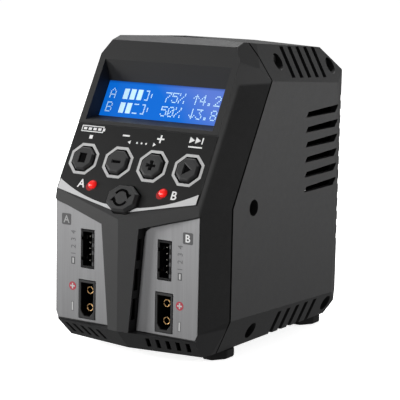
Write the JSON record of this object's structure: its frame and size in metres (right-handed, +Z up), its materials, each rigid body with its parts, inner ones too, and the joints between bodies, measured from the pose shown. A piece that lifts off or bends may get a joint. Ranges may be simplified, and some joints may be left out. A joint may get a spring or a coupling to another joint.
{
  "type": "balance battery charger",
  "caption": "Upright mains charger with slanted display and key panel, wedge nose, channel plates with balance and power sockets, vented sides and louvred back.",
  "frame": {"origin": "centre of the footprint, on the surface the feet stand on", "axes": "+X to the object's own left as seen facing it from the front (channel B side), -Y out of the front, +Z up"},
  "size_m": [0.08, 0.12, 0.1288],
  "materials": {
    "case_plastic": "charcoal fine-textured moulding",
    "black_plastic": "black moulding",
    "capacitor_sleeve": "black sleeve",
    "label_film": "printed film",
    "display": "blue backlit display",
    "lamp_red": "clear red lamp",
    "plate_metal": "vertically brushed sheet",
    "heat_sink_metal": "extruded",
    "board": "fibreglass board",
    "winding": "taped winding and core",
    "gold": "gold plated",
    "steel": "plated",
    "rubber": "soft black"
  },
  "bodies": {
    "housing": {"front_shell": "case_plastic", "left_shell": "case_plastic", "right_shell": "case_plastic", "rear_panel": "black_plastic", "lcd_frame": "black_plastic", "balance_header_a": "black_plastic", "balance_header_b": "black_plastic", "power_socket_a": "black_plastic", "power_socket_b": "black_plastic", "fan_frame": "black_plastic", "ac_inlet": "black_plastic", "switch_stop": "black_plastic", "switch_dec": "black_plastic", "switch_inc": "black_plastic", "switch_enter": "black_plastic", "switch_channel": "black_plastic", "capacitor": "capacitor_sleeve", "control_label": "label_film", "lcd_glass": "display", "led_a": "lamp_red", "led_b": "lamp_red", "plate_a": "plate_metal", "plate_b": "plate_metal", "heat_sink_a": "heat_sink_metal", "heat_sink_b": "heat_sink_metal", "control_board": "board", "main_board": "board", "transformer": "winding", "balance_pin_a1": "gold", "balance_pin_a2": "gold", "balance_pin_a3": "gold", "balance_pin_a4": "gold", "balance_pin_a5": "gold", "balance_pin_b1": "gold", "balance_pin_b2": "gold", "balance_pin_b3": "gold", "balance_pin_b4": "gold", "balance_pin_b5": "gold", "contact_a_plus": "gold", "contact_a_minus": "gold", "contact_b_plus": "gold", "contact_b_minus": "gold", "inlet_pin_left": "steel", "inlet_pin_right": "steel", "case_screw_1": "steel", "case_screw_2": "steel", "case_screw_3": "steel", "case_screw_4": "steel", "case_screw_5": "steel", "foot_front_left": "rubber", "foot_front_right": "rubber", "foot_rear_left": "rubber", "foot_rear_right": "rubber"},
    "button_stop": {"button_stop": "case_plastic"},
    "button_dec": {"button_dec": "case_plastic"},
    "button_inc": {"button_inc": "case_plastic"},
    "button_enter": {"button_enter": "case_plastic"},
    "button_channel": {"button_channel": "case_plastic"},
    "fan": {"fan_rotor": "black_plastic"}
  },
  "joints": [
    {"name": "button_stop_press", "type": "slide", "parent": "housing", "child": "button_stop", "axis": [0, 0.8704, -0.4924], "range_m": [0, 0.0008], "stiffness_N_per_m": 400, "springref_m": -0.0005},
    {"name": "button_dec_press", "type": "slide", "parent": "housing", "child": "button_dec", "axis": [0, 0.8704, -0.4924], "range_m": [0, 0.0008], "stiffness_N_per_m": 400, "springref_m": -0.0005},
    {"name": "button_inc_press", "type": "slide", "parent": "housing", "child": "button_inc", "axis": [0, 0.8704, -0.4924], "range_m": [0, 0.0008], "stiffness_N_per_m": 400, "springref_m": -0.0005},
    {"name": "button_enter_press", "type": "slide", "parent": "housing", "child": "button_enter", "axis": [0, 0.8704, -0.4924], "range_m": [0, 0.0008], "stiffness_N_per_m": 400, "springref_m": -0.0005},
    {"name": "button_channel_press", "type": "slide", "parent": "housing", "child": "button_channel", "axis": [0, 0.8704, -0.4924], "range_m": [0, 0.0008], "stiffness_N_per_m": 400, "springref_m": -0.0005},
    {"name": "fan_spin", "type": "hinge", "parent": "housing", "child": "fan", "pos_m": [0, 0.0516, 0.078], "axis": [0, 1, 0], "continuous": true}
  ]
}
